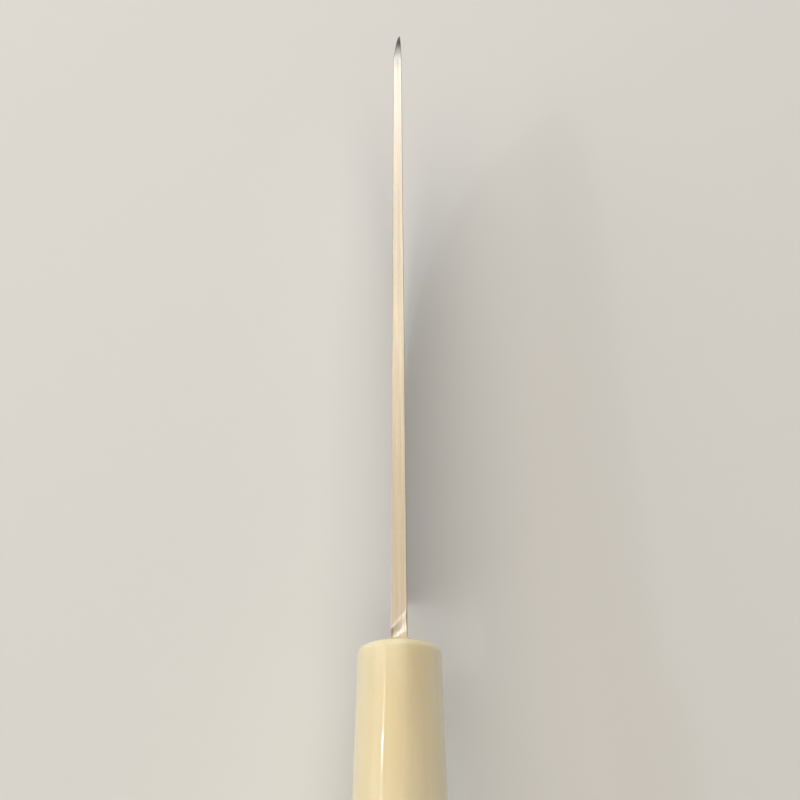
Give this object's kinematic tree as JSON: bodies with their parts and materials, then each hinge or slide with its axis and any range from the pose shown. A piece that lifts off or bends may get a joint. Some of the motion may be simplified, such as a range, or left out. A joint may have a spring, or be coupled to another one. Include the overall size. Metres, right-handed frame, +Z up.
{
  "type": "boning knife",
  "caption": "Boning knife with a straight-spined, unevenly ground steel blade and a glossy ivory moulded handle over a hidden tang.",
  "frame": {"origin": "middle of the grip, halfway along the handle, on the blade's middle plane", "axes": "+X along the knife towards its tip, +Z up towards the spine, +Y to the knife's left"},
  "size_m": [0.268, 0.0192, 0.0327],
  "materials": {
    "blade_steel": "ground and satin polished stainless steel",
    "pin_steel": "drawn stainless rod",
    "core_nylon": "as moulded, matt",
    "ivory_skin": "ivory, glossy as moulded",
    "ivory_plug": "ivory, semi-gloss",
    "seal_rubber": "soft, matt, ivory"
  },
  "bodies": {
    "root": {"blade": "blade_steel", "front_pin": "pin_steel", "middle_pin": "pin_steel", "rear_pin": "pin_steel", "core_left": "core_nylon", "core_right": "core_nylon", "handle_skin": "ivory_skin", "butt_plug": "ivory_plug", "mouth_seal": "seal_rubber"}
  },
  "joints": []
}
